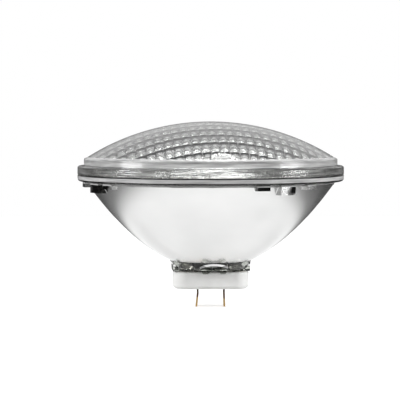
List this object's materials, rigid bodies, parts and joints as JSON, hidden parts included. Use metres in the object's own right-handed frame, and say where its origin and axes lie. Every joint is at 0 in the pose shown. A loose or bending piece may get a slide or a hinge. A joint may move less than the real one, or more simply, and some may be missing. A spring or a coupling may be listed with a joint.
{
  "type": "par spotlight bulb",
  "caption": "Sealed-beam parabolic spotlight bulb: domed lens with rows of pillow lenses, mirrored bowl, ceramic base and flat contact prongs.",
  "frame": {"origin": "middle of the flat underside of the ceramic base, from which the prongs come out", "axes": "+Z along the beam, out of the lens; X across the two prongs; -Y is the side that faces the viewer in the picture"},
  "size_m": [0.1778, 0.1778, 0.124],
  "materials": {
    "lens_glass": "clear pressed glass",
    "mirror_glass": "glass with a bright aluminium film inside, satin silver from outside",
    "clear_glass": "clear glass",
    "ceramic": "white unglazed ceramic",
    "cement": "grey lamp cement",
    "brass": "tarnished brass",
    "nickel": "nickel-plated metal",
    "tungsten": "dark drawn tungsten"
  },
  "bodies": {
    "root": {"lens": "lens_glass", "reflector": "mirror_glass", "exhaust_tube": "clear_glass", "bridge_bead": "clear_glass", "filament": "tungsten", "left_hook": "tungsten", "centre_hook": "tungsten", "right_hook": "tungsten", "left_lead_post": "nickel", "right_lead_post": "nickel", "left_filament_clamp": "nickel", "right_filament_clamp": "nickel", "left_ferrule": "nickel", "right_ferrule": "nickel", "left_strap": "nickel", "right_strap": "nickel", "prong_rivets": "nickel", "left_prong": "brass", "right_prong": "brass", "left_cement_bead": "cement", "right_cement_bead": "cement", "ceramic_base": "ceramic"}
  },
  "joints": []
}
